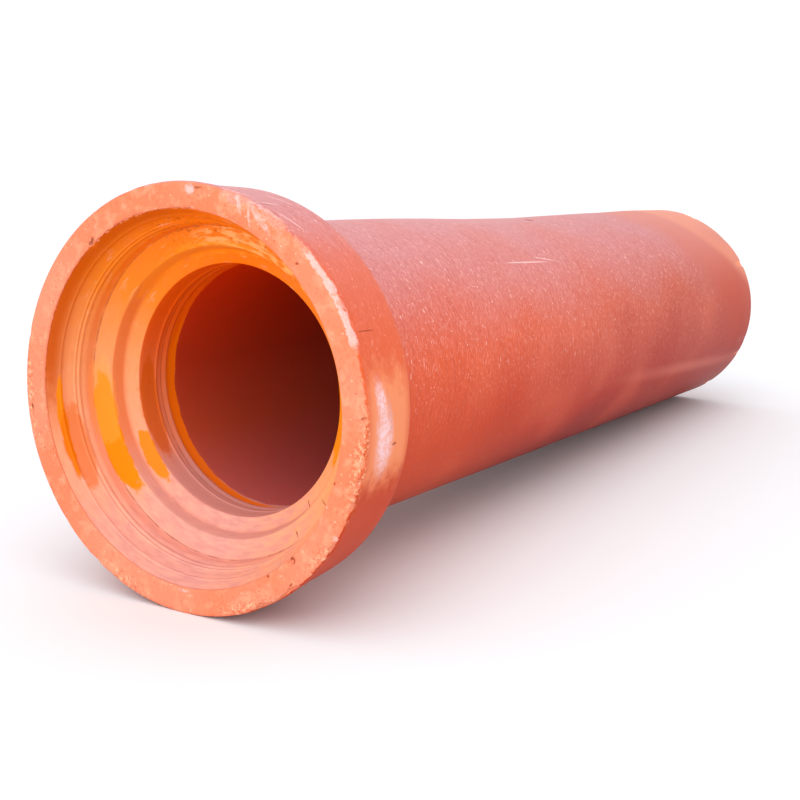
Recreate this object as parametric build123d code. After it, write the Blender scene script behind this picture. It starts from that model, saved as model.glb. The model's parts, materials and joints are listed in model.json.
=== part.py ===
from build123d import *
import math
import os

# A socket-and-spigot drain pipe in fired clay, one solid turned about its own axis.
# Every size is in millimetres. A place along the pipe is its depth from the mouth.

# Driving sizes of the barrel
BORE_DIAMETER = 300.0
BARREL_DIAMETER = 380.0
OVERALL_LENGTH = 1500.0

# Driving sizes of the collar that forms the socket
COLLAR_MOUTH_DIAMETER = 490.0
COLLAR_BACK_DIAMETER = 466.0
COLLAR_LENGTH = 107.0
SHOULDER_LENGTH = 31.0

# Driving sizes inside the socket
RIM_INNER_DIAMETER = 430.0
JOINT_CLEARANCE = 6.0
SOCKET_DEPTH = 63.0
LAND_LENGTH = 13.0
SEAT_INNER_DIAMETER = 344.0
SEAT_BEVEL_DEPTH = 8.0
STEP_WALL_LENGTH = 19.0
STEP_WALL_DRAFT = 5.0
LEDGE_DEPTH = 6.0
THROAT_DIAMETER = 302.0
THROAT_LENGTH = 61.0
GLAZE_LIP_LENGTH = 5.0

# Rounded edges
RIM_OUTER_ROUND = 5.0
COLLAR_BACK_ROUND = 14.0
SHOULDER_FOOT_ROUND = 14.0
SPIGOT_OUTER_ROUND = 6.0
SPIGOT_INNER_BEVEL = 3.0
SEAT_EDGE_ROUND = 3.0
STEP_CORNER_ROUND = 6.0

# Beads left by the former inside the socket and the throat
BEAD_HEIGHT = 1.5
BEAD_WIDTH = 4.0
TWIN_BEAD_PITCH = 5.0
MOUTH_BEAD_DEPTH = 19.0
WALL_BEAD_DEPTH = 36.5
THROAT_BEAD_DEPTH = 126.0
THROAT_BAND_DEPTH = 143.0
THROAT_BAND_WIDTH = 9.0

# Radii and depths that follow from the driving sizes
bore_radius = BORE_DIAMETER / 2
barrel_radius = BARREL_DIAMETER / 2
rim_outer_radius = COLLAR_MOUTH_DIAMETER / 2
collar_back_radius = COLLAR_BACK_DIAMETER / 2
rim_inner_radius = RIM_INNER_DIAMETER / 2
land_radius = barrel_radius + JOINT_CLEARANCE
seat_inner_radius = SEAT_INNER_DIAMETER / 2
throat_radius = THROAT_DIAMETER / 2
land_start = SOCKET_DEPTH - LAND_LENGTH
step_start = SOCKET_DEPTH + SEAT_BEVEL_DEPTH
step_end = step_start + STEP_WALL_LENGTH
step_end_radius = seat_inner_radius - STEP_WALL_DRAFT
throat_start = step_end + LEDGE_DEPTH
lip_start = throat_start + THROAT_LENGTH
bore_start = lip_start + GLAZE_LIP_LENGTH
barrel_start = COLLAR_LENGTH + SHOULDER_LENGTH


def socket_wall_radius(depth):
    """Radius of the tapered socket wall between the rim and the land."""
    fall = (rim_inner_radius - land_radius) / land_start
    return rim_inner_radius - fall * depth


def bead(depth, wall_radius, width=BEAD_WIDTH):
    """Three sharp corners of a low bead that stands in from a wall, deepest first."""
    half = width / 2
    return [
        (depth + half, wall_radius(depth + half), 0),
        (depth, wall_radius(depth) - BEAD_HEIGHT, 0),
        (depth - half, wall_radius(depth - half), 0),
    ]


def twin_bead(depth, wall_radius):
    """Two like beads side by side, deepest first."""
    return bead(depth + TWIN_BEAD_PITCH, wall_radius) + bead(depth, wall_radius)


def throat_wall_radius(depth):
    """Radius of the straight throat, the same at any depth."""
    return throat_radius


def pipe_corners():
    """Corners of the wall's section as (depth, radius, round), once round the wall."""
    outside = [
        (0, rim_inner_radius, 0),
        (0, rim_outer_radius, RIM_OUTER_ROUND),
        (COLLAR_LENGTH, collar_back_radius, COLLAR_BACK_ROUND),
        (barrel_start, barrel_radius, SHOULDER_FOOT_ROUND),
        (OVERALL_LENGTH, barrel_radius, SPIGOT_OUTER_ROUND),
        (OVERALL_LENGTH, bore_radius + SPIGOT_INNER_BEVEL, 0),
        (OVERALL_LENGTH - SPIGOT_INNER_BEVEL, bore_radius, 0),
    ]
    throat = [
        (bore_start, bore_radius, 0),
        (lip_start, throat_radius, 0),
        *bead(THROAT_BAND_DEPTH, throat_wall_radius, THROAT_BAND_WIDTH),
        *bead(THROAT_BEAD_DEPTH, throat_wall_radius),
        (throat_start, throat_radius, 0),
    ]
    socket = [
        (step_end, step_end_radius, STEP_CORNER_ROUND),
        (step_start, seat_inner_radius, SEAT_EDGE_ROUND),
        (SOCKET_DEPTH, land_radius, 0),
        (land_start, land_radius, 0),
        *twin_bead(WALL_BEAD_DEPTH, socket_wall_radius),
        *bead(MOUTH_BEAD_DEPTH, socket_wall_radius),
    ]
    return outside + throat + socket


def make_pipe():
    """The pipe with its axis on X, its mouth at X = 0 and its spigot at +X."""
    corners = pipe_corners()
    points = [(depth, radius) for depth, radius, corner_round in corners]
    rounds = [corner_round for depth, radius, corner_round in corners]
    outline = FilletPolyline(*points, radius=rounds, close=True)
    section = make_face(Plane.XY * outline)
    return revolve(section, axis=Axis.X)


def lie_angle():
    """Angle in radians at which rim and spigot both touch a level floor."""
    run = (OVERALL_LENGTH - SPIGOT_OUTER_ROUND) - RIM_OUTER_ROUND
    drop = (rim_outer_radius - RIM_OUTER_ROUND) - (barrel_radius - SPIGOT_OUTER_ROUND)
    round_difference = RIM_OUTER_ROUND - SPIGOT_OUTER_ROUND
    return math.atan2(drop, run) + math.asin(round_difference / math.hypot(drop, run))


def floor_place():
    """Where the pipe lies: on the floor, centred over the origin, its mouth towards -X."""
    tilt = lie_angle()
    sine = math.sin(tilt)
    cosine = math.cos(tilt)
    rim_round_radius = rim_outer_radius - RIM_OUTER_ROUND
    spigot_round_radius = barrel_radius - SPIGOT_OUTER_ROUND
    spigot_round_depth = OVERALL_LENGTH - SPIGOT_OUTER_ROUND
    mouth_height = RIM_OUTER_ROUND * sine + rim_round_radius * cosine + RIM_OUTER_ROUND
    mouth_reach = RIM_OUTER_ROUND * cosine - rim_round_radius * sine - RIM_OUTER_ROUND
    spigot_reach = (
        spigot_round_depth * cosine + spigot_round_radius * sine + SPIGOT_OUTER_ROUND
    )
    middle = (mouth_reach + spigot_reach) / 2
    return Pos(-middle, 0, mouth_height) * Rot(0, math.degrees(tilt), 0)


os.makedirs("parts", exist_ok=True)
clay_pipe = floor_place() * make_pipe()
clay_pipe.label = "clay_pipe"
export_step(clay_pipe, "parts/clay_pipe.step")
print("clay_pipe", clay_pipe.bounding_box().size, "volume", round(clay_pipe.volume))
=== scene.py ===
# %% [markdown]
# # A clay drain pipe
#
# The object is one socket-and-spigot drain pipe, fired in one piece. A flared collar at
# the near end forms the socket, with two steps inside it, and the plain far end is the
# spigot that goes into the next pipe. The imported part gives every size, and this script
# gives the pipe its skin: worn edges, chips, glaze, bare clay and scratches.

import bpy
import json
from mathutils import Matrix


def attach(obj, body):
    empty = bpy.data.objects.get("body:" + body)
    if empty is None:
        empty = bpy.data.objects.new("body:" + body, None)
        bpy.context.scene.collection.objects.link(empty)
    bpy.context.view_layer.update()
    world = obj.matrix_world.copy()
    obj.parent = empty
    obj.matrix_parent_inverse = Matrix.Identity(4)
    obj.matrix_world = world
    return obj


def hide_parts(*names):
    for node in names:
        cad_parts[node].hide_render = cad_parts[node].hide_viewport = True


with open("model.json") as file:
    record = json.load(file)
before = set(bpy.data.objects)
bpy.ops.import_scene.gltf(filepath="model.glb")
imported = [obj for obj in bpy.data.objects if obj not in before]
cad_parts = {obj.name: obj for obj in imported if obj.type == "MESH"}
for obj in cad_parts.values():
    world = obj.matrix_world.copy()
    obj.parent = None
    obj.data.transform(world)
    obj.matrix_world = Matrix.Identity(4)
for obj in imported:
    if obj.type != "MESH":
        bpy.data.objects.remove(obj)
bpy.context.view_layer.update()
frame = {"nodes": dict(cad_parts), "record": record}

# %% [markdown]
# ## The pipe's own axes
#
# The pipe lies on its collar rim and its spigot edge, so its axis slopes by about two
# degrees. It is far easier to work along the pipe than along the floor: a place on the
# pipe is its depth from the mouth, its radius, and a clock angle that is 0 at the top and
# 90 on the right as one looks into the mouth. The mounts in the record give the axis and
# the mouth plane, so nothing is measured twice.

# %% Find the axis and the mouth from the mounts
import json
import math

import bpy
import numpy as np
from mathutils import Color, Matrix, Vector, noise

MM = 0.001
mounts = {mount["name"]: mount for mount in frame["record"]["mounts"]}
inward = -Vector(mounts["bore"]["axis"]).normalized()
on_axis = Vector(mounts["bore"]["pos_m"])
rim_point = Vector(mounts["rim_face"]["pos_m"])
spigot_point = Vector(mounts["spigot_end_face"]["pos_m"])
mouth_centre = on_axis + inward * (rim_point - on_axis).dot(inward)
pipe_length = (spigot_point - mouth_centre).dot(inward)
bore_mm = mounts["bore"]["dims"]["r_mm"]
barrel_mm = mounts["spigot"]["dims"]["r_mm"]

across = Vector((0, 1, 0))
upward = inward.cross(across)
axes = Matrix((inward, across, upward)).transposed()
pipe_to_world = Matrix.Translation(mouth_centre) @ axes.to_4x4()
world_to_pipe = pipe_to_world.inverted()
print("length, m:", round(pipe_length, 4), " bore and barrel radius, mm:", bore_mm, barrel_mm)

# %% [markdown]
# ## The wall's section
#
# A turned thing is known by its section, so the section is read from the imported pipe
# instead of being drawn again: every point of the CAD mesh on the +Y seam, joined in
# order, is the outline of the wall as (depth, radius). Read this way, the skin can't
# drift from the solid when a size changes there. Places are rounded to a hundredth of a
# millimetre, so that points which share a corner are one.

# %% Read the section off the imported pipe
SEAM_WIDTH = 0.01 * MM
PLACE_DIGITS = 5


def read_section(node):
    """The wall's outline as (depth, radius) points in metres, outwards from the rim's inner edge."""
    seam = {}
    for vertex in node.data.vertices:
        here = world_to_pipe @ vertex.co
        if abs(here.z) < SEAM_WIDTH and here.y > 0:
            seam[vertex.index] = (round(here.x, PLACE_DIGITS), round(here.y, PLACE_DIGITS))
    beside = {place: set() for place in seam.values()}
    for edge in node.data.edges:
        ends = [seam.get(index) for index in edge.vertices]
        if None not in ends and ends[0] != ends[1]:
            beside[ends[0]].add(ends[1])
            beside[ends[1]].add(ends[0])
    start = min(beside, key=lambda place: (place[0], place[1]))
    outline = [start]
    following = max(beside[start], key=lambda place: place[1])
    while following != start:
        outline.append(following)
        onward = [place for place in beside[following] if place not in outline[-2:]]
        following = onward[0]
    return np.array(outline)


section = read_section(frame["nodes"]["clay_pipe"])
rim_mm = round(section[0, 1] / MM)
print("corners in the section:", len(section), " inner radius of the rim, mm:", rim_mm)

# %% [markdown]
# ## Softened edges, and rows where they are needed
#
# Clay has no knife edges: even the beads in the socket are a little blunt. The outline is
# walked in quarter-millimetre steps and blurred by under a millimetre, which rounds every
# corner alike. Then most of those points are thrown away again. A point stays where the
# outline bends, and otherwise only often enough for chips and waves, so the fine rows lie
# at the mouth and the long straight barrel gets few.

# %% Soften the section
STEP = 0.25 * MM
BLUR = 0.7 * MM
BLUR_ENDS_AT = 4


def walk(outline, step):
    """Points at even steps along the closed outline."""
    closed = np.vstack([outline, outline[:1]])
    lengths = np.hypot(*np.diff(closed, axis=0).T)
    along = np.concatenate([[0], np.cumsum(lengths)])
    places = np.arange(0, along[-1], step)
    return np.stack([np.interp(places, along, closed[:, k]) for k in (0, 1)], axis=1)


def bell(gap):
    """1 in the middle, falling off smoothly to either side over a gap of about 1."""
    return np.exp(-0.5 * gap**2)


def blur(outline, step, reach):
    """The outline averaged over its neighbours, which rounds the corners."""
    half = int(BLUR_ENDS_AT * reach / step)
    offsets = np.arange(-half, half + 1)
    weights = bell(offsets * step / reach)
    weights /= weights.sum()
    return sum(weight * np.roll(outline, -offset, axis=0) for offset, weight in zip(offsets, weights))


fine = blur(walk(section, STEP), STEP, BLUR)
print("points on the softened outline:", len(fine))

# %% Choose the rows
BEND_ALLOWED = 0.05 * MM
EDGE_ZONE = 12 * MM
SOCKET_ZONE = 70 * MM
SOCKET_RADIUS = 220 * MM
THROAT_ZONE = 175 * MM
RIM_ROW = 2.4 * MM
SOCKET_ROW = 3.6 * MM
THROAT_ROW = 7.0 * MM
SPIGOT_ROW = 6.0 * MM
BARREL_ROW = 60.0 * MM


def longest_row(depth, radius):
    """The longest gap between rows that the relief at this place can do with."""
    if depth < EDGE_ZONE:
        return RIM_ROW
    if depth < SOCKET_ZONE and radius < SOCKET_RADIUS:
        return SOCKET_ROW
    if depth < THROAT_ZONE:
        return THROAT_ROW
    if depth > pipe_length - EDGE_ZONE:
        return SPIGOT_ROW
    return BARREL_ROW


def thin_out(outline):
    """Indices of the rows to keep: at bends, and at least every longest_row."""
    count = len(outline)
    keep = [0]
    last = 0
    while last < count - 1:
        reach = last + 1
        best = reach
        while reach < count:
            chord = outline[reach] - outline[last]
            length = np.hypot(*chord)
            if length > longest_row(*outline[last]):
                break
            between = outline[last + 1 : reach] - outline[last]
            if len(between):
                sag = np.abs(between[:, 0] * chord[1] - between[:, 1] * chord[0]).max() / length
                if sag > BEND_ALLOWED:
                    break
            best = reach
            reach += 1
        keep.append(best)
        last = best
    return keep


rows = fine[thin_out(fine)[:-1]]
deepest_row = int(np.argmax(rows[:, 0]))
print("rows round the section:", len(rows))

# %% [markdown]
# ## Turning the section
#
# Each row becomes a ring of points. A screw modifier could do the same, but the points
# are made here in one array so that every one of them can be worn by its own amount
# before the skin exists. The row normals point out of the clay. The rows start at the
# rim's inner edge and run over the outside first, so all of them up to the deepest one
# belong to the outside.

# %% Turn the rows into rings
RING_POINTS = 512

turn = np.linspace(-math.pi, math.pi, RING_POINTS, endpoint=False)
ring_depth = np.repeat(rows[:, 0], RING_POINTS)
ring_radius = np.repeat(rows[:, 1], RING_POINTS)
ring_clock = np.tile(turn, len(rows))

tangent = np.roll(rows, -1, axis=0) - np.roll(rows, 1, axis=0)
tangent /= np.hypot(*tangent.T)[:, None]
normal_depth = np.repeat(-tangent[:, 1], RING_POINTS)
normal_radius = np.repeat(tangent[:, 0], RING_POINTS)
is_outside = np.repeat(np.arange(len(rows)) <= deepest_row, RING_POINTS)


def on_pipe(depth, radius):
    """Places in the pipe's own axes, for a depth and a radius at every ring point."""
    return np.stack([depth, -radius * np.sin(ring_clock), radius * np.cos(ring_clock)], axis=1)


ring_places = on_pipe(ring_depth, ring_radius)
print("points:", len(ring_places), " triangles:", 2 * len(ring_places))

# %% [markdown]
# ## Out of round
#
# A clay pipe this size sags and swells a little as it dries and fires. Against the
# photograph the barrel stands some millimetres proud behind the collar, dips halfway,
# and is slightly flat on the spigot's shoulder. The collar bulges at its lower right, the
# throat leans in on the right, and the rim is drawn out at its lower left while its inner
# edge stays where it is. Each of these is a soft hump with a place, a reach and a height,
# which moves the clay straight away from the axis or towards it. A slow noise of under a
# millimetre keeps the rest of the surface from being machine-true.

# %% Swell and sag the rings
SWELLS = (
    # depth mm, clock degrees, reach along mm, reach round degrees, height mm
    (290, -2, 210, 42, 5.6),
    (800, -2, 150, 42, -2.6),
    (1370, -8, 110, 30, 3.0),
    (1440, 32, 120, 24, -5.0),
    (100, 130, 45, 30, 2.6),
)
THROAT_SWELL = (105, 80, 30, 42, -3.6)
RIM_SWELL = (0, 224, 60, 40, 3.2)
RIM_WIDTH = 30 * MM
SWELL_FROM = 25 * MM
SWELL_FULL = 115 * MM
HAND_SIZE = 130 * MM
HAND_HEIGHT = 0.6 * MM


def degrees_apart(angle, clock):
    """The gap between an array of angles and a clock position, in degrees, either way round."""
    return (np.degrees(angle) - clock + 180) % 360 - 180


def smooth(value):
    """The usual S-shaped step from 0 to 1."""
    value = np.clip(value, 0, 1)
    return value * value * (3 - 2 * value)


def swell(depth, clock, along, around, height):
    """How far one hump moves every point away from the axis, in metres."""
    hump = bell((ring_depth - depth * MM) / (along * MM))
    return hump * bell(degrees_apart(ring_clock, clock) / around) * height * MM


def noise_at(size):
    """Noise between about -1 and 1 at every ring point, with lumps about this size."""
    return np.array([noise.noise(Vector(place) / size) for place in ring_places])


past_rim = smooth((ring_depth - SWELL_FROM) / (SWELL_FULL - SWELL_FROM))
across_rim = np.clip((ring_radius - rim_mm * MM) / RIM_WIDTH, 0, 1)
spread = sum(swell(*hump) for hump in SWELLS) * is_outside * past_rim
spread += swell(*THROAT_SWELL) * ~is_outside
spread += swell(*RIM_SWELL) * is_outside * across_rim
shift = noise_at(HAND_SIZE) * HAND_HEIGHT
print("furthest swell and dip, mm:", round(spread.max() / MM, 2), round(spread.min() / MM, 2))

# %% [markdown]
# ## Knocks and broken edges
#
# A pipe that has been rolled about a yard has a worn rim. Where the photograph shows a
# knock that can be pointed at, it gets its own line: a place, how far it reaches along
# the edge and across it, and how deep it bites. The ragged stretches get a row of small
# knocks with seeded random sizes instead. A knock pushes the clay in along its own
# normal, and also marks the points as bare, so that the finish can show raw clay there.

# %% List the knocks
KNOCKS = [
    # depth mm, radius mm, clock degrees, along mm, across mm, bite mm
    (0, 236, 3, 7, 7, 4.0),
    (2, 240, 18, 30, 13, 3.0),
    (3, 242, 31, 26, 12, 3.2),
    (2, 243, 43, 24, 9, 3.0),
    (2, 243, 51, 20, 9, 3.2),
    (2, 243, 58, 13, 8, 2.6),
    (2, 244, 64, 14, 9, 3.2),
    (1, 243, 88, 6, 5, 3.0),
    (1, 242, 99, 9, 9, 2.5),
    (2, 244, 105, 9, 7, 3.0),
    (2, 244, 111, 8, 9, 3.5),
    (0, 241, 121, 6, 6, 2.5),
    (2, 244, 124, 9, 7, 3.0),
    (0, 218, 136, 6, 4, 5.0),
    (3, 247, 213, 10, 6, 3.0),
    (0, 236, 207, 20, 9, 1.2),
    (0, 238, 284, 7, 6, 2.5),
    (0, 239, 258, 10, 5, 2.0),
    (0, 217, 322, 10, 6, 3.0),
    (0, 228, 156, 14, 8, 1.8),
    (0, 239, 154, 12, 7, 2.5),
    (42, 241, 93, 16, 10, 1.6),
]
RAGGED_STRETCHES = (
    # how many, from clock, to clock, depth mm, radius mm, size mm, bite mm
    (34, -38, 6, 0.6, 214.5, 4, 1.5),
    (12, 6, 45, 0.6, 214.5, 4, 0.9),
    (18, 138, 155, 2.5, 243, 7, 3.4),
    (14, 60, 125, 2.0, 243, 5, 1.8),
    (10, 196, 330, 2.0, 244.5, 4, 0.7),
    (10, -40, 60, 2.0, 244, 5, 1.4),
    (24, -180, 180, 1497, 188, 7, 1.6),
)
print("knocks placed by eye:", len(KNOCKS))

# %% Strew the small knocks
import random

KNOCK_SEED = 5
STRAY = 1.5
ALONG_SHARES = (0.6, 1.6)
ACROSS_SHARES = (0.5, 0.9)
BITE_SHARES = (0.5, 1.2)

rng = random.Random(KNOCK_SEED)


def ragged(count, from_clock, to_clock, depth, radius, size, bite):
    """Small knocks strewn along an edge, of random size about the given one."""
    for _ in range(count):
        along = size * rng.uniform(*ALONG_SHARES)
        KNOCKS.append(
            (
                max(0, depth + rng.uniform(-STRAY, STRAY)),
                radius + rng.uniform(-STRAY, STRAY),
                rng.uniform(from_clock, to_clock),
                along,
                size * rng.uniform(*ACROSS_SHARES),
                bite * rng.uniform(*BITE_SHARES),
            )
        )


for stretch in RAGGED_STRETCHES:
    ragged(*stretch)
print("knocks:", len(KNOCKS))

# %% [markdown]
# The bite is deepest in the middle and uneven at its edge, because a noise a few
# millimetres across is added to the distance before it is used.

# %% Knock the clay off
GRAIN_SIZE = 5 * MM
GRAIN = 0.35
KNOCK_EDGE = 1.25

grain = noise_at(GRAIN_SIZE)
bare = np.zeros(len(ring_places))
bite_depth = np.zeros(len(ring_places))
for depth, radius, clock, along, wide, bite in KNOCKS:
    gap_around = np.radians(degrees_apart(ring_clock, clock)) * ring_radius / (along * MM)
    gap_across = np.hypot(ring_depth - depth * MM, ring_radius - radius * MM) / (wide * MM)
    near = smooth(KNOCK_EDGE - np.hypot(gap_around, gap_across) + GRAIN * grain)
    bare = np.maximum(bare, near)
    bite_depth = np.maximum(bite_depth, near * bite * MM * (1 + GRAIN * grain))
shift -= bite_depth
print("deepest bite, mm:", round(bite_depth.max() / MM, 2))

# %% [markdown]
# ## The skin
#
# Now every point moves: by the swells away from the axis, and by hand noise and knocks
# along its own normal. Then the pipe is laid down by its own axes. The real clay can't
# sink into the ground, so a point that a swell would press below the floor stays on it.
# Rows and rings close on themselves, so the skin is one watertight mesh of quads. The
# bareness rides along on the mesh as an attribute, which the finish reads later.

# %% Build the skin
FLOOR_LEVEL = 0


def build_skin(name, places, row_count, ring_count):
    """A closed, smooth skin of quads from rows of ring points."""
    index = np.arange(row_count * ring_count).reshape(row_count, ring_count)
    below = np.roll(index, -1, axis=0)
    corners = [index, below, np.roll(below, -1, axis=1), np.roll(index, -1, axis=1)]
    quads = np.stack(corners, axis=-1).reshape(-1, 4)
    mesh = bpy.data.meshes.new(name)
    mesh.from_pydata(places.tolist(), [], quads.tolist())
    mesh.shade_smooth()
    mesh.update()
    built = bpy.data.objects.new(name, mesh)
    bpy.context.scene.collection.objects.link(built)
    return built


worn = on_pipe(ring_depth + normal_depth * shift, ring_radius + spread + normal_radius * shift)
laid = worn @ np.array(pipe_to_world.to_3x3()).T + np.array(pipe_to_world.translation)
laid[:, 2] = np.maximum(laid[:, 2], FLOOR_LEVEL)
skin = build_skin("fired_clay_skin", laid, len(rows), RING_POINTS)
bare_layer = skin.data.attributes.new("bare_clay", "FLOAT", "POINT")
bare_layer.data.foreach_set("value", bare.astype(np.float32))
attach(skin, "root")
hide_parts("clay_pipe")
print("skin faces:", len(skin.data.polygons))

# %% [markdown]
# ## Coordinates for the finish
#
# The finish is one material laid up in coats, as it is on the real pipe: clay, glaze,
# flame marks, then wear. Nearly everything on a turned pipe follows its axis, so the
# first nodes turn the object coordinates into depth, radius and clock angle, in
# millimetres and degrees. A few small helpers keep the rest short.

# %% Helpers for the node tree
finish = bpy.data.materials.new("fired_clay_finish")
finish.use_nodes = True
tree = finish.node_tree
shader = tree.nodes["Principled BSDF"]


def feed(socket, value):
    """Wire a socket to another, or set it to a plain value."""
    if isinstance(value, bpy.types.NodeSocket):
        tree.links.new(value, socket)
    else:
        socket.default_value = value


def calc(operation, *values):
    """One Math node."""
    made = tree.nodes.new("ShaderNodeMath")
    made.operation = operation
    for socket, value in zip(made.inputs, values):
        feed(socket, value)
    return made.outputs[0]


def vector_calc(operation, first, second=None, scale=None):
    """One Vector Math node."""
    made = tree.nodes.new("ShaderNodeVectorMath")
    made.operation = operation
    feed(made.inputs[0], first)
    if second is not None:
        feed(made.inputs[1], second)
    if scale is not None:
        feed(made.inputs["Scale"], scale)
    return made.outputs["Value"] if operation == "LENGTH" else made.outputs["Vector"]


def ramp(value, zero_at, one_at, low=0.0, high=1.0, interpolation="LINEAR"):
    """A straight ramp: low where value is zero_at, high where it is one_at."""
    made = tree.nodes.new("ShaderNodeMapRange")
    made.interpolation_type = interpolation
    for socket, number in zip(made.inputs, (value, zero_at, one_at, low, high)):
        feed(socket, number)
    return made.outputs[0]


def fade(value, zero_at, one_at, low=0.0, high=1.0):
    """The same as a ramp, with soft ends."""
    return ramp(value, zero_at, one_at, low, high, "SMOOTHSTEP")


def times(*values):
    """The product of several masks."""
    product = values[0]
    for value in values[1:]:
        product = calc("MULTIPLY", product, value)
    return product


def strayed(value, stray, reach):
    """A depth, radius or angle moved to and fro by a noise, over this reach in all."""
    return calc("MULTIPLY_ADD", calc("SUBTRACT", stray, 0.5), reach, value)


def mottle(vector, size, detail=3.0, roughness=0.55):
    """Noise between 0 and 1 whose lumps are about size millimetres across."""
    made = tree.nodes.new("ShaderNodeTexNoise")
    feed(made.inputs["Vector"], vector)
    made.inputs["Scale"].default_value = 1 / size
    made.inputs["Detail"].default_value = detail
    made.inputs["Roughness"].default_value = roughness
    return made.outputs[0]


def count_nodes(laid_last):
    """Print how far the finish has grown."""
    print("nodes after the", laid_last + ":", len(tree.nodes))


# %% Depth, radius and clock angle
to_pipe = tree.nodes.new("ShaderNodeMapping")
to_pipe.vector_type = "TEXTURE"
feed(to_pipe.inputs["Vector"], tree.nodes.new("ShaderNodeTexCoord").outputs["Object"])
to_pipe.inputs["Location"].default_value = pipe_to_world.translation
to_pipe.inputs["Rotation"].default_value = pipe_to_world.to_euler()
place_mm = vector_calc("SCALE", to_pipe.outputs[0], scale=1 / MM)
split = tree.nodes.new("ShaderNodeSeparateXYZ")
feed(split.inputs[0], place_mm)
depth_mm, side_mm, height_mm = split.outputs
cross_place = vector_calc("MULTIPLY", place_mm, (0, 1, 1))
radius_mm = vector_calc("LENGTH", cross_place)
clock_turn = calc("ARCTAN2", calc("MULTIPLY", side_mm, -1), height_mm)
clock_degrees = calc("MULTIPLY", clock_turn, 180 / math.pi)
upness = calc("DIVIDE", height_mm, radius_mm)
count_nodes("coordinates")

# %% [markdown]
# Four noises serve the whole finish: slow clouds, lumps, fine lumps and grit. A fifth runs
# in streaks round the pipe, as a former or a wet sponge leaves them. Its coordinates are
# the place on a small circle, which makes it change slowly round the pipe and quickly
# along it. A clock angle and a depth that the lumps push to and fro give many masks a
# ragged border.

# %% Noises that the coats share
CLOUD_SIZE = 140
LUMP_SIZE = 16
FINE_LUMP_SIZE = 5
GRIT_SIZE = 1.6
STREAK_SIZE = 3.0
STREAK_RADIUS = 26
CLOCK_STRAY = 14.0
DEPTH_STRAY = 9.0

slow = mottle(place_mm, CLOUD_SIZE, detail=1.0)
lumps = mottle(place_mm, LUMP_SIZE, detail=2.0)
fine_lumps = mottle(place_mm, FINE_LUMP_SIZE, detail=3.0, roughness=0.65)
grit = mottle(place_mm, GRIT_SIZE, detail=1.0, roughness=0.7)

streak_around = vector_calc("SCALE", vector_calc("NORMALIZE", cross_place), scale=STREAK_RADIUS)
join = tree.nodes.new("ShaderNodeCombineXYZ")
feed(join.inputs[0], calc("ADD", depth_mm, radius_mm))
streak_place = vector_calc("ADD", streak_around, join.outputs[0])
round_streaks = mottle(streak_place, STREAK_SIZE, detail=3.0)
ragged_clock = strayed(clock_degrees, lumps, CLOCK_STRAY)
ragged_depth = strayed(depth_mm, lumps, DEPTH_STRAY)
count_nodes("shared noises")

# %% [markdown]
# ## Laying up coats
#
# Each coat is a mask, a colour, a roughness and a strength. Laying one mixes it over what
# is there, so the order of the cells below is the order of the coats on the clay. Colours
# are written as they look on a screen, 0 to 255, and turned into Blender's linear light.
# The roughnesses that the coats choose from come first.

# %% Roughnesses, from glassy to pitted
GLASSY = 0.3
SATIN = 0.4
WIPED = 0.45
WORN = 0.5
RUBBED = 0.55
DUSTY = 0.6
BARE = 0.75
GRITTY = 0.8
CRUMBLED = 0.85
PITTED = 0.9

coat = {"colour": None, "roughness": SATIN}
print("the clay starts at roughness", coat["roughness"])

# %% Helpers for coats
SCREEN_FULL = 255
STOPS_IN_A_NEW_RAMP = 2
MIX_SOCKETS = {
    # what is mixed: sockets of the Mix node for what is under, what is over, and the result
    "FLOAT": (2, 3, 0),
    "RGBA": (6, 7, 2),
}


def tint(*red_green_blue):
    """A screen colour as linear RGBA."""
    screen = Color([value / SCREEN_FULL for value in red_green_blue])
    return (*screen.from_srgb_to_scene_linear(), 1.0)


def blend(mask, under, over, kind="RGBA"):
    """One colour mixed over another, or one number over another where the kind is FLOAT."""
    made = tree.nodes.new("ShaderNodeMix")
    made.data_type = kind
    under_socket, over_socket, result = MIX_SOCKETS[kind]
    feed(made.inputs[0], mask)
    feed(made.inputs[under_socket], under)
    feed(made.inputs[over_socket], over)
    return made.outputs[result]


def lay(mask, colour, roughness=None, strength=None):
    """Lay a coat over what is there. Without a roughness, that stays as it is below."""
    if strength is not None:
        mask = times(mask, strength)
    coat["colour"] = blend(mask, coat["colour"], colour)
    if roughness is not None:
        coat["roughness"] = blend(mask, coat["roughness"], roughness, "FLOAT")


def colour_band(value, *stops):
    """A colour ramp over a value, from (value, colour) stops."""
    low, high = stops[0][0], stops[-1][0]
    made = tree.nodes.new("ShaderNodeValToRGB")
    feed(made.inputs[0], ramp(value, low, high))
    elements = made.color_ramp.elements
    for index, (place, colour) in enumerate(stops):
        position = (place - low) / (high - low)
        if index < STOPS_IN_A_NEW_RAMP:
            elements[index].position = position
        else:
            elements.new(position)
        elements[index].color = colour
    return made.outputs[0]


# %% [markdown]
# A mask is often a window: full within some reach of a middle, and fading out beyond it.
# Round the clock the gap has to wrap, because 180 and -180 degrees are the same place.

# %% Helpers for windows
def window(value, centre, half, soft):
    """1 within half of the centre, fading to 0 over soft."""
    gap = calc("ABSOLUTE", calc("SUBTRACT", value, centre))
    return fade(gap, half + soft, half)


def clock_gap(centre):
    """Degrees from a clock position, negative on one side of it, with a ragged border."""
    return calc("WRAP", calc("SUBTRACT", ragged_clock, centre), 180.0, -180.0)


def clock_window(centre, half, soft):
    """1 within half degrees of a clock position, fading to 0 over soft degrees."""
    return fade(calc("ABSOLUTE", clock_gap(centre)), half + soft, half)


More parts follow.
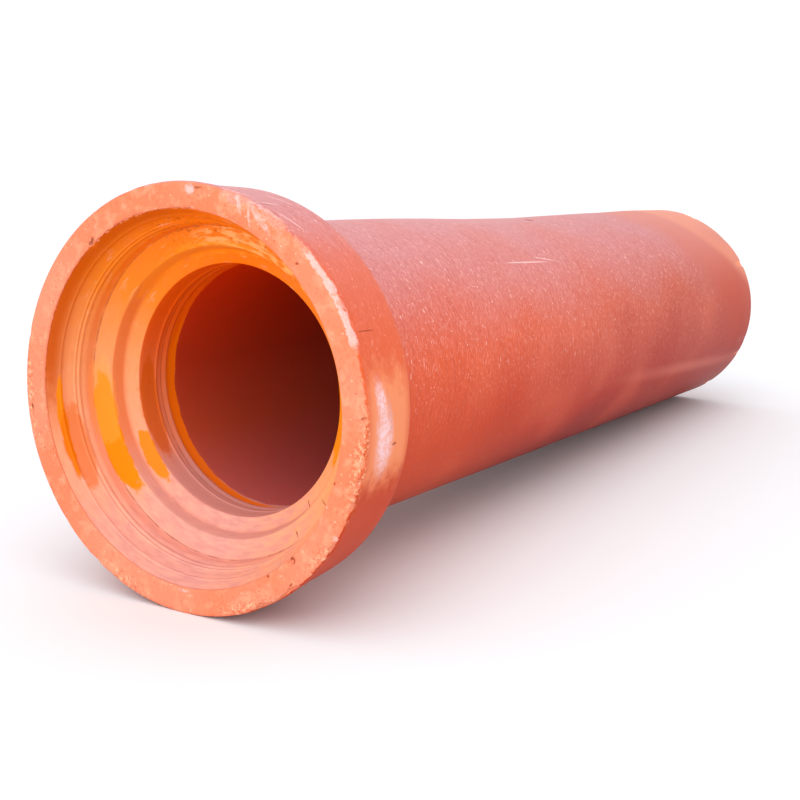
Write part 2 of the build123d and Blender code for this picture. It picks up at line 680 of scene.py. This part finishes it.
# %% [markdown]
# ## The glazed outside
#
# The barrel's glaze is satin and red-orange. A ramp over how far the surface faces up
# paints light and shade into it: a dusty pink on top that is painted sky sheen, and a deep
# dark red underneath that is painted shade. The far end is duller and the part behind the
# collar more orange, so two masks along the depth follow. Slow clouds and streaks round
# the pipe break it all up.

# %% Glaze outside
# The pink stops on top are painted sky sheen, and the dark red stops underneath painted shade.
GLAZE_AND_PAINTED_LIGHT_BY_UPNESS = (
    # how far the surface faces up, colour
    (-1.0, tint(134, 8, 0)),
    (-0.4, tint(174, 34, 4)),
    (0.25, tint(212, 98, 72)),
    (0.9, tint(206, 132, 132)),
)
DULL_RED = tint(150, 46, 34)
DULL_PINK = tint(176, 98, 102)
COLLAR_FLAME = tint(222, 84, 34)
DARK_STREAK = tint(180, 66, 44)
PALE_STREAK = tint(240, 140, 112)
WARM_CLOUD = tint(232, 104, 62)

coat["colour"] = colour_band(strayed(upness, slow, 0.7), *GLAZE_AND_PAINTED_LIGHT_BY_UPNESS)
far_off = fade(depth_mm, 500, 1250, 0, 0.4)
lay(times(far_off, fade(upness, 0.9, 0.3)), DULL_RED)
lay(times(far_off, fade(upness, 0.5, 0.9)), DULL_PINK, strength=0.6)
near_collar = times(fade(depth_mm, 800, 180), fade(upness, 0.8, 0.1))
lay(near_collar, COLLAR_FLAME, strength=0.6)
lay(fade(round_streaks, 0.42, 0.70, 0, 0.32), DARK_STREAK)
lay(times(fade(round_streaks, 0.42, 0.24, 0, 0.22), fade(upness, -0.6, 0.2)), PALE_STREAK)
lay(fade(slow, 0.55, 0.8, 0, 0.15), WARM_CLOUD)
count_nodes("glaze")

# %% [markdown]
# ## The spigot
#
# The last quarter metre was wiped before firing so that the joint would grip. It is
# smoother and more orange, paler on top and darker below in painted sheen and painted
# shade, with a pale crescent near the end on the upper side that is a painted highlight.
# Both start further from the mouth at the sides than on top. The wiped band is found
# first, because the speckles stop there.

# %% Where the wiped spigot starts
WIPED_FROM = 1165.0
WIPED_SLANT = 190.0
CRESCENT_FROM = 1290.0
CRESCENT_SLANT = 240.0
WIPED_CLOUD = 60.0
WIPED_FADE = (-50.0, 110.0)
CRESCENT_FADE = (0.0, 60.0)


def slanted_start(on_top, slant):
    """A depth that is on_top at the top and grows by slant down to the sides."""
    return calc("MULTIPLY_ADD", calc("SUBTRACT", 1.0, upness), slant, on_top)


cloudy_depth = calc("MULTIPLY_ADD", slow, WIPED_CLOUD, depth_mm)
past_wiped_start = calc("SUBTRACT", cloudy_depth, slanted_start(WIPED_FROM, WIPED_SLANT))
plain_spigot = fade(past_wiped_start, *WIPED_FADE)
past_crescent_start = calc("SUBTRACT", depth_mm, slanted_start(CRESCENT_FROM, CRESCENT_SLANT))
count_nodes("spigot's places")

# %% [markdown]
# ## Speckles and short strokes on the barrel
#
# Hundreds of pale specks and short strokes lie on the barrel, most of them on its upper
# half. A Voronoi texture scatters cells evenly, each cell's own colour decides how large
# its spot is and which of two masks it belongs to, and squashing the coordinates turns
# spots into strokes. The barrel uses the first mask; the rim uses both later, as pale
# grains and dark pits. The strokes' coordinates wobble by a noise, so that none is a
# clean ellipse.

# %% Speckles and strokes
WOBBLE_LUMPS = 4.0
WOBBLE_REACH = 3.0
SPECK_EDGE = 0.25
CHANCE_EDGE = 0.02
SPECK_SPACING = 6
SPECK_SIZES = (0.35, 1.15)
SPECK_SHARE = 0.42
STROKE_SPACING = 5.5
STROKE_SIZES = (0.4, 0.95)
STROKE_SHARE = 0.45
STROKE_SQUASH = (1.0, 0.26, 0.26)
SPECK_PINK = tint(255, 214, 204)
STROKE_PINK = tint(255, 208, 198)
DUST_PINK = tint(250, 188, 176)

wobble = tree.nodes.new("ShaderNodeTexNoise")
feed(wobble.inputs["Vector"], place_mm)
wobble.inputs["Scale"].default_value = 1 / WOBBLE_LUMPS
wobble.inputs["Detail"].default_value = 1.0
either_way = vector_calc("SUBTRACT", wobble.outputs["Color"], (0.5, 0.5, 0.5))
wobbly_place = vector_calc("ADD", place_mm, vector_calc("SCALE", either_way, scale=WOBBLE_REACH))


def specks(vector, spacing, smallest, largest, share):
    """Spots of random size in millimetres, as two masks: this share of the cells, and the rest."""
    made = tree.nodes.new("ShaderNodeTexVoronoi")
    feed(made.inputs["Vector"], vector)
    made.inputs["Scale"].default_value = 1 / spacing
    chance = tree.nodes.new("ShaderNodeSeparateColor")
    feed(chance.inputs[0], made.outputs["Color"])
    size = calc("MULTIPLY_ADD", chance.outputs[0], (largest - smallest) / spacing, smallest / spacing)
    edge = SPECK_EDGE * smallest / spacing
    inside = fade(calc("SUBTRACT", made.outputs["Distance"], size), edge, -edge)
    chosen = fade(chance.outputs[1], share + CHANCE_EDGE, share - CHANCE_EDGE)
    return times(inside, chosen), times(inside, calc("SUBTRACT", 1.0, chosen))


dots, other_dots = specks(place_mm, SPECK_SPACING, *SPECK_SIZES, SPECK_SHARE)
squashed = vector_calc("MULTIPLY", wobbly_place, STROKE_SQUASH)
strokes = specks(squashed, STROKE_SPACING, *STROKE_SIZES, STROKE_SHARE)[0]
dust = fade(mottle(squashed, 1.6, detail=1.0), 0.52, 0.70)
clustered = fade(slow, 0.35, 0.6, 0.6, 1.0)
speck_area = times(
    fade(radius_mm, barrel_mm - 20, barrel_mm - 4),
    fade(upness, -0.4, 0.7, 0.15, 1.0),
    calc("SUBTRACT", 1.0, plain_spigot),
)
lay(times(dust, speck_area), DUST_PINK, DUSTY, strength=0.35)
lay(times(dots, speck_area, clustered), SPECK_PINK, DUSTY, strength=0.75)
lay(times(strokes, speck_area, clustered), STROKE_PINK, DUSTY, strength=0.75)
count_nodes("speckles")

# %% [markdown]
# Over the speckles goes the wiped band, which hides most of them, and then the pale
# crescent, a painted highlight.

# %% Spigot band and crescent
# Darker below and paler on top is painted shade and painted sheen, as on the barrel.
SPIGOT_AND_PAINTED_LIGHT_BY_UPNESS = (
    # how far the surface faces up, colour
    (-1.0, tint(138, 18, 4)),
    (-0.3, tint(168, 42, 18)),
    (0.3, tint(192, 82, 62)),
    (0.95, tint(216, 128, 108)),
)
CRESCENT_HIGHLIGHT = tint(236, 154, 122)

lay(plain_spigot, colour_band(upness, *SPIGOT_AND_PAINTED_LIGHT_BY_UPNESS), WIPED, strength=0.75)
# The pale crescent is a painted highlight where the end of the spigot catches the sky.
crescent = times(
    fade(past_crescent_start, *CRESCENT_FADE),
    fade(radius_mm, barrel_mm - 6, barrel_mm - 3),
    fade(upness, -0.1, 0.4),
)
lay(crescent, CRESCENT_HIGHLIGHT, WORN, strength=0.5)
count_nodes("spigot")

# %% [markdown]
# ## The collar
#
# The collar's side has the same glaze, more orange on the right and redder below that,
# and rubbed to bare clay where it has been dragged. The paler clay fades out softly, with
# a white scrape in the middle that comes later with the other marks. A brown line of
# painted shade lies in the crease where the collar turns into the shoulder.

# %% Rubbed collar
COLLAR_ORANGE = tint(222, 92, 42)
COLLAR_RED = tint(186, 54, 14)
CREASE_SHADE_BROWN = tint(176, 76, 54)
RUBBED_CLAY = tint(240, 148, 102)

on_collar = times(fade(depth_mm, 128, 110), fade(radius_mm, rim_mm + 7, rim_mm + 13))
lay(times(on_collar, clock_window(92, 40, 26)), COLLAR_ORANGE, strength=0.6)
lay(times(on_collar, clock_window(138, 24, 18)), COLLAR_RED, strength=0.8)
# The brown line along the collar's back edge is painted shade in the crease.
back_edge_shade = times(window(ragged_depth, 109, 0.8, 1.6), fade(radius_mm, barrel_mm + 6, barrel_mm + 14))
lay(times(back_edge_shade, fade(slow, 0.35, 0.6, 0.25, 0.8)), CREASE_SHADE_BROWN)
rubbed = times(on_collar, clock_window(92, 7, 13), window(depth_mm, 55, 32, 26))
lay(rubbed, RUBBED_CLAY, RUBBED, strength=0.8)
count_nodes("collar")

# %% [markdown]
# ## The rim
#
# The rim was cut with a wire and never glazed, so it is matte, peach-coloured and full of
# pits and coarse grains. A noise in its depth makes the border to the glaze ragged. The
# cells that speckle the barrel give the pits and the pale grains. The fine relief is set
# here too, half a millimetre of it on the rim and far less under the glaze.

# %% Bare rim
RIM_RELIEF = 0.5
GLAZE_RELIEF = 0.12
PEACH = tint(238, 126, 88)
PINK_PEACH = tint(242, 140, 108)
PALE_PEACH = tint(250, 164, 128)
BURNT_PEACH = tint(218, 104, 72)
PIT_BROWN = tint(156, 68, 48)
PALE_GRAIN = tint(255, 200, 172)

rim_edge = strayed(depth_mm, fine_lumps, 3.0)
on_rim = times(fade(rim_edge, 2.6, 1.6), fade(radius_mm, rim_mm - 7, rim_mm - 4))
rim_clay = blend(fade(slow, 0.3, 0.7), PEACH, PINK_PEACH)
rim_clay = blend(fade(lumps, 0.45, 0.75, 0, 0.6), rim_clay, PALE_PEACH)
rim_clay = blend(fade(fine_lumps, 0.5, 0.72, 0, 0.45), rim_clay, BURNT_PEACH)
lay(on_rim, rim_clay, BARE)
lay(times(on_rim, other_dots, fade(lumps, 0.45, 0.55)), PIT_BROWN, PITTED, strength=0.6)
lay(times(on_rim, dots), PALE_GRAIN, GRITTY, strength=0.5)
relief = times(calc("MULTIPLY_ADD", on_rim, RIM_RELIEF, GLAZE_RELIEF), fine_lumps)
count_nodes("rim")

# %% [markdown]
# ## Inside the socket
#
# The socket is unglazed, and its colour turns with the clock, with light and shade painted
# in: burnt orange over the top is painted shade with warm bounce light, peach on the
# left, and lilac pink at the bottom is a painted reflection of the sky. A ramp over the
# clock angle gives that. The ends of the ramp meet at the bottom, so they share one colour.
# Everything nearer the axis than the middle of the barrel's wall is inside, and so is
# what lies behind the rim and nearer the axis than the collar.

# %% Socket clay
# The lilac is a painted sky reflection, and the burnt orange over the top painted shade.
SKY_LILAC_REFLECTION = tint(230, 162, 146)
SOCKET_LIGHT_AND_SHADE_BY_CLOCK = (
    # clock degrees, colour
    (-180, SKY_LILAC_REFLECTION),
    (-145, tint(242, 168, 144)),
    (-85, tint(240, 158, 104)),
    (-50, tint(236, 132, 34)),
    (0, tint(244, 116, 2)),
    (50, tint(244, 128, 34)),
    (100, tint(246, 154, 92)),
    (145, tint(244, 162, 120)),
    (180, SKY_LILAC_REFLECTION),
)
ORANGE_STREAK = tint(232, 124, 72)
CREAM_STREAK = tint(252, 192, 160)
MAUVE_STREAK = tint(200, 142, 140)
MOUTH_SHADE_ORANGE = tint(200, 84, 0)

wall_mm = (bore_mm + barrel_mm) / 2
is_inside = calc(
    "MAXIMUM",
    fade(radius_mm, wall_mm + 1, wall_mm - 1),
    times(fade(depth_mm, 105, 100), fade(radius_mm, rim_mm + 7, rim_mm + 1)),
)
in_socket = times(is_inside, fade(rim_edge, 1.6, 2.6))
lay(in_socket, colour_band(ragged_clock, *SOCKET_LIGHT_AND_SHADE_BY_CLOCK), WORN)
lay(times(in_socket, fade(round_streaks, 0.5, 0.8, 0, 0.35)), ORANGE_STREAK)
lay(times(in_socket, fade(round_streaks, 0.42, 0.2, 0, 0.35)), CREAM_STREAK)
# The mauve streaks low in the socket carry the same painted sky reflection.
streaky_low = times(in_socket, fade(upness, -0.55, -0.85), fade(round_streaks, 0.36, 0.66))
lay(streaky_low, MAUVE_STREAK, strength=0.5)
# A dark orange near the mouth on the upper left is painted shade.
near_mouth = fade(depth_mm, 34, 8)
lay(times(in_socket, near_mouth, clock_window(-48, 34, 30)), MOUTH_SHADE_ORANGE, strength=0.9)
count_nodes("socket clay")

# %% [markdown]
# The second step's wall and the throat behind it get their own painted light and shade.
# On the step's wall the deeper orange is partly its own browner clay and partly painted
# shade, and over the throat a deeper orange grows towards the top as painted shade. The
# mauve at the bottom of both is a painted reflection of the sky.

# %% Step wall and throat
STEP_SHADE_ORANGE = tint(228, 116, 54)
STEP_SKY_MAUVE = tint(206, 146, 136)
THROAT_SHADE_ORANGE = tint(244, 96, 6)
THROAT_SKY_MAUVE = tint(218, 162, 154)

on_step_wall = times(is_inside, fade(depth_mm, 70.5, 72.5), fade(depth_mm, 88, 84))
step_wall_shading = blend(fade(upness, -0.3, -0.75), STEP_SHADE_ORANGE, STEP_SKY_MAUVE)
lay(on_step_wall, step_wall_shading, strength=0.6)
in_throat = times(is_inside, fade(depth_mm, 95.5, 97), fade(radius_mm, bore_mm + 6, bore_mm + 3))
lay(times(in_throat, fade(upness, -0.5, 0.6, 0.25, 0.85)), THROAT_SHADE_ORANGE, WIPED)
lay(times(in_throat, fade(upness, -0.45, -0.8)), THROAT_SKY_MAUVE, WIPED, strength=0.75)
count_nodes("throat clay")

# %% [markdown]
# Dirt clings to the top of the socket, and a few pale runs of slip cross the seat there.

# %% Grubby top of the socket
GRUBBY_BROWN = tint(178, 84, 8)
PALE_RUN = tint(252, 190, 118)

grubby = times(in_socket, clock_window(18, 30, 20), window(depth_mm, 50, 22, 10))
lay(times(grubby, fade(fine_lumps, 0.52, 0.66)), GRUBBY_BROWN, strength=0.7)
pale_runs = times(in_socket, clock_window(24, 26, 16), window(ragged_depth, 69, 4, 5))
lay(times(pale_runs, fade(round_streaks, 0.56, 0.42)), PALE_RUN, strength=0.6)
count_nodes("dirt in the socket")

# %% [markdown]
# The former left thin scored lines round the inside, drawn as thin dark brown lines, the
# darkest in the corner of the socket. Such lines are masks on depth alone, broken up by noise.

# %% Scored lines
SCORED_LINES = (
    # depth mm, width mm, strength
    (63.0, 0.6, 0.55),
    (2.2, 0.8, 0.3),
    (34.2, 0.5, 0.25),
    (44.4, 0.6, 0.3),
    (16.6, 0.6, 0.25),
    (135.5, 1.4, 0.4),
)
LINE_BROWN = tint(150, 72, 48)

broken_up = fade(lumps, 0.3, 0.6, 0.3, 1.0)
for depth, width, strength in SCORED_LINES:
    line = times(is_inside, window(depth_mm, depth, width / 2, width / 2))
    lay(times(line, broken_up), LINE_BROWN, strength=strength)
count_nodes("scored lines")

# %% [markdown]
# ## Amber glaze
#
# Glaze ran into the socket, mostly on the left, and pooled amber on the steps. Each pool
# is an ellipse in depth and clock angle, so it tapers at both ends as a run of glaze
# does. Its border is noisy, and it is glossy.

# %% Amber pools
AMBER = tint(238, 134, 0)
BURNT = tint(226, 104, 0)
THIN_AMBER = tint(255, 166, 66)
BRIGHT_AMBER = tint(255, 130, 0)
FLAME = tint(250, 100, 10)
HONEY = tint(252, 150, 30)
POOLS = (
    # depth mm, half its depth mm, clock degrees, half its width degrees, colour, strength
    (67.0, 5.5, -112, 24, AMBER, 1.0),
    (64, 11, -98, 16, THIN_AMBER, 0.35),
    (18, 5.5, -106, 17, AMBER, 0.95),
    (27, 15, -112, 15, BURNT, 0.6),
    (93, 4.0, -126, 13, AMBER, 0.95),
    (112, 16, -104, 24, BURNT, 0.75),
    (154, 9, -112, 74, BRIGHT_AMBER, 0.95),
    (92, 5.0, 86, 30, AMBER, 0.95),
    (154, 8, -14, 60, FLAME, 0.7),
    (80, 11, -6, 48, HONEY, 0.5),
)

run_depth = strayed(depth_mm, round_streaks, 8.0)


def pool(depth, half_depth, clock, half_clock, colour, strength):
    """One run of glaze inside the socket or throat, tapered at both ends."""
    along = calc("DIVIDE", calc("SUBTRACT", run_depth, depth), half_depth)
    around = calc("DIVIDE", clock_gap(clock), half_clock)
    reach = calc("ADD", calc("MULTIPLY", along, along), calc("MULTIPLY", around, around))
    lay(times(is_inside, fade(reach, 1.25, 0.8)), colour, GLASSY, strength)


for run in POOLS:
    pool(*run)
count_nodes("amber pools")

# %% [markdown]
# ## The dark bore
#
# Past the throat the bore is glazed a deep oxblood. Its border was drawn by a brush, so it
# wanders a few millimetres, and further near the top.

# %% Bore glaze
OXBLOOD_AND_PAINTED_REFLECTION_BY_UPNESS = (
    # The pinkish lower stops are a painted reflection of the sky in the glaze; the rest is the glaze's
    # own oxblood.
    # how far the surface lies above the axis, colour
    (-1.0, tint(200, 108, 104)),
    (-0.5, tint(196, 88, 58)),
    (0.1, tint(192, 66, 34)),
    (0.9, tint(222, 58, 0)),
)

bore_edge = strayed(depth_mm, lumps, 6.0)
bore_edge = calc("MULTIPLY_ADD", clock_window(10, 6, 16), -9.0, bore_edge)
in_bore = times(
    is_inside,
    fade(radius_mm, bore_mm + 3.5, bore_mm + 2.5),
    fade(bore_edge, 160.5, 162.5),
)
lay(in_bore, colour_band(upness, *OXBLOOD_AND_PAINTED_REFLECTION_BY_UPNESS), GLASSY)
count_nodes("bore glaze")

# %% [markdown]
# ## Raw clay in the knocks
#
# The mesh carries a number that says how far each point was knocked in. Noise is added
# before it is cut to a mask, so the raw patch has a crumbled border finer than the mesh.

# %% Raw patches
RAW_ORANGE = tint(244, 142, 104)
RAW_PALE = tint(252, 184, 152)
CRACK_BROWN = tint(196, 98, 66)

bare_node = tree.nodes.new("ShaderNodeAttribute")
bare_node.attribute_name = "bare_clay"
bare_amount = strayed(bare_node.outputs["Fac"], fine_lumps, 1.0)
raw = fade(bare_amount, 0.35, 0.6)
lay(raw, blend(fade(grit, 0.4, 0.7), RAW_ORANGE, RAW_PALE), CRUMBLED, strength=0.6)
crack = times(raw, fade(bare_amount, 0.62, 0.5), fade(fine_lumps, 0.5, 0.4))
lay(crack, CRACK_BROWN, strength=0.25)
count_nodes("raw patches")

# %% [markdown]
# ## Marks that can be pointed at
#
# The rest are single marks: scrapes, scratches, pits and dirt. Each is an ellipsoid laid
# into the surface. A Mapping node set to Texture moves, turns and scales the coordinates
# so that the mark becomes the unit ball, and the length of the result says how far off a
# point is. The nearest mark of a group wins, and one fade turns that into the group's
# mask, which keeps the node count and the render time down.

# %% Helpers for single marks
MARK_THICKNESS = 7.0
MARK_EDGE = 0.35


def mark(depth, radius, clock, length, width, slant=0, on="side", wobbly=True):
    """How far a point is from one mark, 1 at its edge. Slant is in degrees from running round."""
    angle = math.radians(clock)
    out = Vector((0, -math.sin(angle), math.cos(angle)))
    around = Vector((0, -math.cos(angle), -math.sin(angle)))
    lengthwise = Vector((1, 0, 0))
    other, face = (lengthwise, out) if on == "side" else (out, lengthwise)
    lean = math.radians(slant)
    long_way = around * math.cos(lean) + other * math.sin(lean)
    short_way = face.cross(long_way)
    made = tree.nodes.new("ShaderNodeMapping")
    made.vector_type = "TEXTURE"
    feed(made.inputs["Vector"], wobbly_place if wobbly else place_mm)
    made.inputs["Location"].default_value = lengthwise * depth + out * radius
    made.inputs["Rotation"].default_value = Matrix((long_way, short_way, face)).transposed().to_euler()
    made.inputs["Scale"].default_value = (length / 2, width / 2, MARK_THICKNESS)
    return vector_calc("LENGTH", made.outputs[0])


def marks(*gaps, soft=MARK_EDGE):
    """Several marks as one mask, whose edge fades over soft of a mark's half size."""
    nearest = gaps[0]
    for gap in gaps[1:]:
        nearest = calc("MINIMUM", nearest, gap)
    return fade(nearest, 1 + soft, 1 - soft)


# %% [markdown]
# The collar has a white scrape on its right, with a mauve line rubbed into it, and small
# pale patches where the glaze has chipped off beside the rim. Along two stretches of the
# rim's outer edge the wear is one continuous pale arc. That is a window round the edge's
# radius with a ragged border, because a row of ellipses would look like a row of beads.

# %% Scrapes, pale patches and worn edge
SCRAPE_WHITE = tint(240, 208, 214)
SCRAPE_MAUVE = tint(196, 150, 160)
PATCH_PINK = tint(246, 190, 182)
WORN_PINK = tint(246, 196, 188)

scrape = marks(
    mark(46, 240, 95, 74, 34, 6),
    mark(38, 241, 85, 44, 20, 16),
    soft=0.6,
)
lay(times(scrape, fade(fine_lumps, 0.62, 0.4, 0.4, 1.0)), SCRAPE_WHITE, WORN, strength=0.85)
scrape_line = marks(mark(58, 239, 89, 46, 8, 10))
lay(times(scrape_line, fade(grit, 0.45, 0.6)), SCRAPE_MAUVE, DUSTY, strength=0.6)
pale_patches = marks(
    mark(1, 234, 27, 44, 7, -22, "rim"),
    mark(1, 238, 19, 30, 5, -50, "rim"),
    mark(1, 230, 24, 24, 3, -60, "rim"),
    mark(8, 243.5, 27, 50, 7, 12),
    mark(14, 243, 16, 40, 5, 24),
    mark(0, 218, 180, 16, 3, 0, "rim"),
    mark(0, 241, 121, 7, 6, 0, "rim"),
)
lay(times(pale_patches, fade(fine_lumps, 0.62, 0.4, 0.35, 1.0)), PATCH_PINK, DUSTY, strength=0.7)
ragged_radius = strayed(radius_mm, fine_lumps, 9.0)
worn_arc = calc("MAXIMUM", clock_window(50, 5, 4), clock_window(63.5, 4, 3))
worn_edge = times(worn_arc, window(ragged_radius, 241.5, 2.4, 1.2), fade(ragged_depth, 9, 6))
lay(times(worn_edge, fade(grit, 0.7, 0.45, 0.5, 1.0)), WORN_PINK, DUSTY, strength=0.8)
count_nodes("scrapes and worn edge")

# %% [markdown]
# Sand from the clay shows in long patches on the rim: pale where it lies proud, brown and
# darker where grains have fallen out. One small chip at the top has bared whitish clay.

# %% Sandy patches and the white chip
SAND_PALE = tint(254, 200, 158)
SAND_BROWN = tint(196, 100, 68)
SAND_DARK = tint(150, 70, 46)
CHIP_WHITE = tint(222, 198, 190)
CHIP_BROWN = tint(150, 84, 60)

sandy = marks(
    mark(0, 238, 203, 74, 15, 0, "rim"),
    mark(0, 240, 157, 90, 15, 0, "rim"),
    mark(0, 238, 268, 120, 12, 0, "rim"),
    mark(2, 242, 100, 150, 20, 0, "rim"),
    mark(0, 240, 128, 50, 14, 0, "rim"),
    soft=0.6,
)
lay(times(sandy, fade(fine_lumps, 0.50, 0.38)), SAND_PALE, CRUMBLED, strength=0.55)
lay(times(sandy, fade(fine_lumps, 0.58, 0.64)), SAND_BROWN, PITTED, strength=0.6)
lay(times(sandy, fade(grit, 0.60, 0.66)), SAND_DARK, PITTED, strength=0.7)
lay(marks(mark(0, 236, 3, 12, 10, 0, "rim")), CHIP_WHITE, CRUMBLED, strength=0.85)
lay(marks(mark(0, 239, 6, 10, 3, 10, "rim")), CHIP_BROWN, CRUMBLED, strength=0.8)
count_nodes("sand and chip")

# %% [markdown]
# Scratches are long, thin marks with clean edges, so their coordinates don't wobble. A
# wide faint streak runs along the barrel, low on its right.

# %% Scratches and the faint streak
SCRATCH_PINK = tint(255, 214, 210)
FAINT_PINK = tint(226, 126, 104)

scratches = marks(
    mark(74, 236.5, 18.5, 34, 2.2, 30, wobbly=False),
    mark(28, 242, 32, 36, 2.6, 20, wobbly=False),
    mark(36, 241, 23, 1.8, 34, 0, wobbly=False),
    mark(585, 191, 45, 120, 2.0, 88, wobbly=False),
    mark(650, 191, 44, 60, 1.6, 80, wobbly=False),
)
lay(scratches, SCRATCH_PINK, WORN, strength=0.7)
faint_streak = marks(mark(1200, 190, 115, 520, 20, 87), soft=0.95)
lay(faint_streak, FAINT_PINK, strength=0.35)
count_nodes("scratches")

# %% [markdown]
# Last come the dark marks: two hairlines along the collar's side, pits in the rim, and
# dirt in the socket and on the barrel. They lie on top of everything, as on the real pipe.

# %% Dark lines, pits and dirt
DIRT_BROWN = tint(132, 52, 28)

dark_marks = marks(
    mark(20, 242.5, 24.2, 1.3, 36, 3, wobbly=False),
    mark(32, 241, 66.8, 1.3, 36, 0, wobbly=False),
    mark(0, 226, 44, 5, 2.4, 40, "rim"),
    mark(0, 218.5, 135.5, 5, 9, 10, "rim"),
    mark(91, 163, 137, 1.8, 7, 14),
    mark(67, 182, 126, 1.6, 6, 14),
    mark(66, 185, 143, 1.6, 6, 14),
    mark(2, 244, 88, 5, 4, 0),
    mark(606, 190, 87, 5, 3, 40),
    mark(805, 191, 9, 16, 14, 70),
    mark(0, 236, 263, 7, 3, 5, "rim"),
    mark(0, 216, 146, 4, 4, 0, "rim"),
    mark(0, 216, 107, 4, 4, 0, "rim"),
    mark(0, 238, 140.5, 5, 3, 20, "rim"),
    mark(0, 219, 322, 14, 3, 12, "rim"),
    mark(70, 237.5, 97, 2.5, 9, 0),
)
lay(dark_marks, DIRT_BROWN, GRITTY, strength=0.7)
count_nodes("dark marks")

# %% [markdown]
# ## Joining the coats to the shader
#
# The running colour, roughness and relief go to the shader. The glaze is thin and dulled
# by weather, so it mirrors far less than fresh glass: a low specular level, the same all
# over and therefore set on the shader's own socket.

# %% Join the coats
WEATHERED_SHINE = 0.07

bump = tree.nodes.new("ShaderNodeBump")
bump.inputs["Distance"].default_value = MM
feed(bump.inputs["Height"], relief)
feed(shader.inputs["Base Color"], coat["colour"])
feed(shader.inputs["Roughness"], coat["roughness"])
feed(shader.inputs["Normal"], bump.outputs[0])
shader.inputs["Specular IOR Level"].default_value = WEATHERED_SHINE
skin.data.materials.append(finish)
print("nodes in the finish:", len(tree.nodes))

# %% [markdown]
# ## Floor
#
# A plain pale floor, wide enough that its edge is never seen, with a sky of the same
# brightness behind it so that no horizon shows.

# %% Floor
FLOOR_HALF = 60.0
FLOOR_GREY = 0.82
CORNER_SIGNS = ((-1, -1), (1, -1), (1, 1), (-1, 1))

floor_mesh = bpy.data.meshes.new("pale_floor")
floor_corners = [(x * FLOOR_HALF, y * FLOOR_HALF, 0) for x, y in CORNER_SIGNS]
floor_mesh.from_pydata(floor_corners, [], [(0, 1, 2, 3)])
floor = bpy.data.objects.new("pale_floor", floor_mesh)
bpy.context.scene.collection.objects.link(floor)
pale = bpy.data.materials.new("pale_floor")
pale.use_nodes = True
pale_shader = pale.node_tree.nodes["Principled BSDF"]
pale_shader.inputs["Base Color"].default_value = (FLOOR_GREY, FLOOR_GREY, FLOOR_GREY, 1)
pale_shader.inputs["Roughness"].default_value = 1.0
pale_shader.inputs["Specular IOR Level"].default_value = 0.0
floor_mesh.materials.append(pale)
print("floor, m across:", 2 * FLOOR_HALF)

# %% [markdown]
# ## Camera
#
# The photograph was taken from a little above the rim, to the right of the mouth, so the
# pipe runs away to the upper right. The place and the lens come from fitting the rings of
# the pipe to the photograph.

# %% Camera
FRAME_PIXELS = 800
FOCAL_PIXELS = 1326.2
SENSOR_WIDTH = 36.0
CAMERA_PLACE = Vector((-1.8556, -0.9633, 0.5460))
CAMERA_AZIMUTH = math.radians(58.52)
CAMERA_PITCH = math.radians(11.636)

camera_data = bpy.data.cameras.new("photographer")
camera_data.sensor_width = SENSOR_WIDTH
camera_data.lens = FOCAL_PIXELS * SENSOR_WIDTH / FRAME_PIXELS
camera = bpy.data.objects.new("photographer", camera_data)
bpy.context.scene.collection.objects.link(camera)
camera.location = CAMERA_PLACE
camera.rotation_euler = (math.pi / 2 - CAMERA_PITCH, 0, -CAMERA_AZIMUTH)
bpy.context.scene.camera = camera
print("lens, mm:", round(camera_data.lens, 2))

# %% [markdown]
# ## Light
#
# The photograph has open, even daylight. A pale sky that is brighter and a little cooler
# overhead does most of the work, and a wide soft sun gives the forms some direction. The
# Standard view transform leaves the colours as they were mixed.

# %% Sky
SKY_LEVEL = (1.04, 1.04, 1.04, 1)
SKY_OVERHEAD = (1.12, 1.15, 1.22, 1)
SKY_STRENGTH = 0.98

bpy.context.scene.view_settings.view_transform = "Standard"
world = bpy.data.worlds.new("studio")
bpy.context.scene.world = world
world.use_nodes = True
sky = world.node_tree
sky_direction = sky.nodes.new("ShaderNodeTexCoord").outputs["Generated"]
sky_split = sky.nodes.new("ShaderNodeSeparateXYZ")
sky.links.new(sky_direction, sky_split.inputs[0])
sky_ramp = sky.nodes.new("ShaderNodeValToRGB")
sky.links.new(sky_split.outputs["Z"], sky_ramp.inputs[0])
sky_ramp.color_ramp.elements[0].color = SKY_LEVEL
sky_ramp.color_ramp.elements[1].color = SKY_OVERHEAD
background = sky.nodes["Background"]
sky.links.new(sky_ramp.outputs[0], background.inputs["Color"])
background.inputs["Strength"].default_value = SKY_STRENGTH

# %% Sun
SUN_ENERGY = 0.7
SUN_SPREAD = math.radians(50)
SUN_SHINES = Vector((1.0, 0.55, -2.2))

sun_data = bpy.data.lights.new("soft_sun", "SUN")
sun_data.energy = SUN_ENERGY
sun_data.angle = SUN_SPREAD
sun = bpy.data.objects.new("soft_sun", sun_data)
bpy.context.scene.collection.objects.link(sun)
sun.rotation_euler = SUN_SHINES.to_track_quat("-Z", "Y").to_euler()

# %% [markdown]
# The mouth faced the open yard, so more light falls into the socket than the sky alone
# gives. One large soft lamp in front of the mouth, a little to its right, stands in.

# %% Soft lamp in front of the mouth
LAMP_WIDTH = 1.6
LAMP_ENERGY = 11
LAMP_FROM_MOUTH = Vector((-1.7, -0.5, 0.45))

lamp_data = bpy.data.lights.new("open_yard", "AREA")
lamp_data.shape = "SQUARE"
lamp_data.size = LAMP_WIDTH
lamp_data.energy = LAMP_ENERGY
lamp = bpy.data.objects.new("open_yard", lamp_data)
bpy.context.scene.collection.objects.link(lamp)
lamp.location = mouth_centre + LAMP_FROM_MOUTH
lamp.rotation_euler = (mouth_centre - lamp.location).to_track_quat("-Z", "Y").to_euler()
print("lights:", sun.name, lamp.name)
